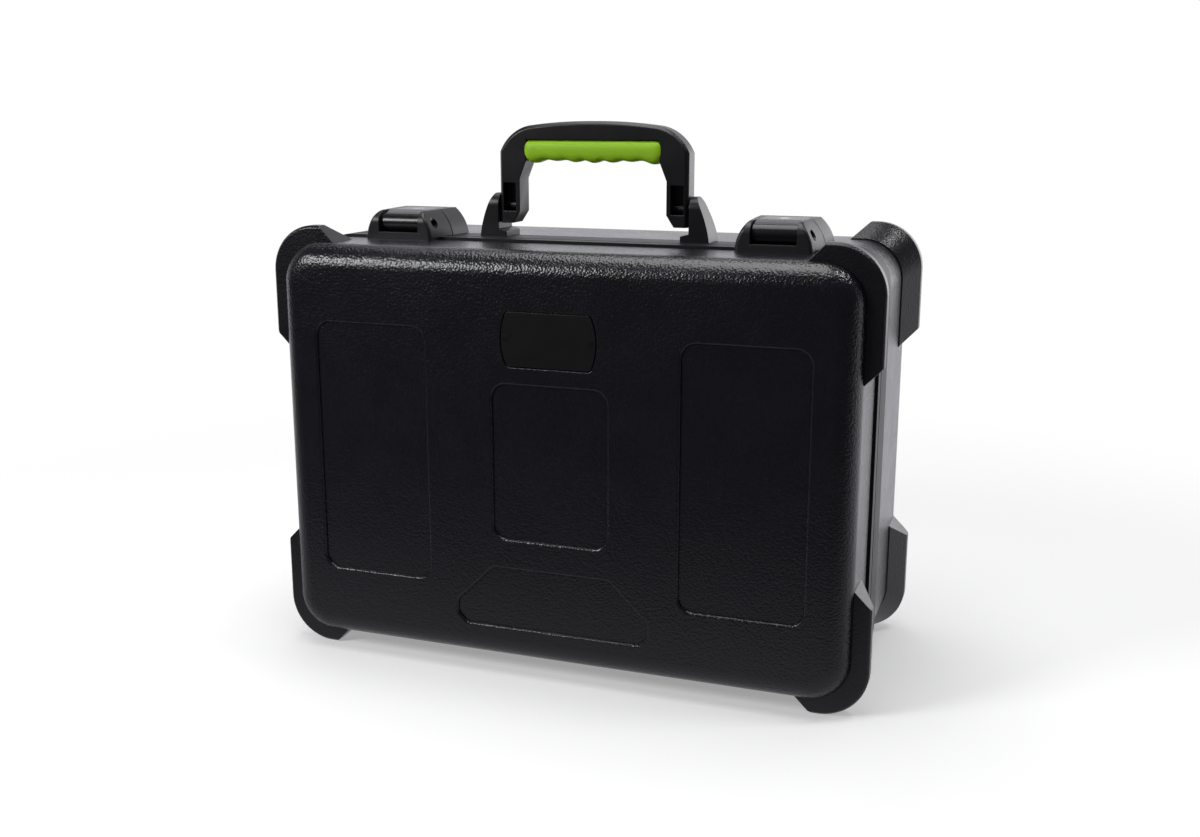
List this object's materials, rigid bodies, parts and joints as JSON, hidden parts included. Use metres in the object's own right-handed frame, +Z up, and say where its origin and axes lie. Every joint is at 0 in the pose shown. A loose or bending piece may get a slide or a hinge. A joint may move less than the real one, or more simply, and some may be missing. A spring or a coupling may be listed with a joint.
{
  "type": "microphone case",
  "caption": "Black moulded carrying case for microphones, with a hinged lid, lever latches, corner bumpers that are its feet, a folding handle and foam with drop holes inside.",
  "frame": {"origin": "centre of the bounding box at ground level, under the middle of the case as it stands on its bumpers", "axes": "+X along the case's width (the case's own left to right seen from the front), +Y from the lid to the tray's back, +Z up through the handle"},
  "size_m": [0.528, 0.251, 0.465],
  "materials": {
    "shell_plastic": "pebbled moulded plastic, satin",
    "bumper_plastic": "smoother moulded plastic, satin",
    "rail_plastic": "smooth satin, fine grooves",
    "latch_plastic": "fine satin",
    "lever_plastic": "gloss",
    "handle_plastic": "satin",
    "grip_rubber": "soft matte",
    "seal_rubber": "matte",
    "foam": "open-cell foam",
    "plate": "matte",
    "fastener_steel": "zinc plated",
    "hinge_steel": "black",
    "lock_metal": "satin"
  },
  "bodies": {
    "tray": {"tray_shell": "shell_plastic", "tray_bumper_lower_left": "bumper_plastic", "tray_bumper_lower_right": "bumper_plastic", "tray_bumper_upper_left": "bumper_plastic", "tray_bumper_upper_right": "bumper_plastic", "tray_rail": "rail_plastic", "tray_pad": "foam", "microphone_foam_1": "foam", "microphone_foam_2": "foam", "microphone_foam_3": "foam", "microphone_foam_4": "foam", "latch_rear_left": "latch_plastic", "latch_rear_right": "latch_plastic", "latch_rear_screws": "fastener_steel", "handle_bracket_left": "handle_plastic", "handle_bracket_right": "handle_plastic", "handle_bracket_screws": "fastener_steel", "handle_pins": "fastener_steel", "hinge_tray_leaf_left": "hinge_steel", "hinge_tray_leaf_right": "hinge_steel", "hinge_pin_left": "fastener_steel", "hinge_pin_right": "fastener_steel", "hinge_tray_rivets": "fastener_steel"},
    "lid": {"lid_shell": "shell_plastic", "lid_bumper_lower_left": "bumper_plastic", "lid_bumper_lower_right": "bumper_plastic", "lid_bumper_upper_left": "bumper_plastic", "lid_bumper_upper_right": "bumper_plastic", "lid_rail": "rail_plastic", "lid_seal": "seal_rubber", "lid_foam": "foam", "name_plate": "plate", "name_plate_rivets": "fastener_steel", "latch_front_left": "latch_plastic", "latch_front_right": "latch_plastic", "latch_pin_left": "fastener_steel", "latch_pin_right": "fastener_steel", "latch_front_screws": "fastener_steel", "hinge_lid_leaf_left": "hinge_steel", "hinge_lid_leaf_right": "hinge_steel", "hinge_lid_rivets": "fastener_steel"},
    "handle": {"handle_frame": "handle_plastic", "handle_grip": "grip_rubber"},
    "lever_left": {"latch_lever_left": "lever_plastic"},
    "lever_right": {"latch_lever_right": "lever_plastic"},
    "lock_left": {"latch_lock_left": "lock_metal"},
    "lock_right": {"latch_lock_right": "lock_metal"}
  },
  "joints": [
    {"name": "lid_hinge", "type": "hinge", "parent": "tray", "child": "lid", "pos_m": [0, -0.0265, 0.0076], "axis": [1, 0, 0], "range_deg": [0, 100]},
    {"name": "handle_fold", "type": "hinge", "parent": "tray", "child": "handle", "pos_m": [0, -0.014, 0.393], "axis": [1, 0, 0], "range_deg": [-90, 90]},
    {"name": "latch_left_lift", "type": "hinge", "parent": "lid", "child": "lever_left", "pos_m": [-0.1665, -0.0495, 0.378], "axis": [1, 0, 0], "range_deg": [0, 110]},
    {"name": "lock_left_turn", "type": "hinge", "parent": "lever_left", "child": "lock_left", "pos_m": [-0.1665, -0.0215, 0.3885], "axis": [0, 0, -1], "range_deg": [0, 90]},
    {"name": "latch_right_lift", "type": "hinge", "parent": "lid", "child": "lever_right", "pos_m": [0.1665, -0.0495, 0.378], "axis": [1, 0, 0], "range_deg": [0, 110]},
    {"name": "lock_right_turn", "type": "hinge", "parent": "lever_right", "child": "lock_right", "pos_m": [0.1665, -0.0215, 0.3885], "axis": [0, 0, 1], "range_deg": [0, 90]}
  ]
}
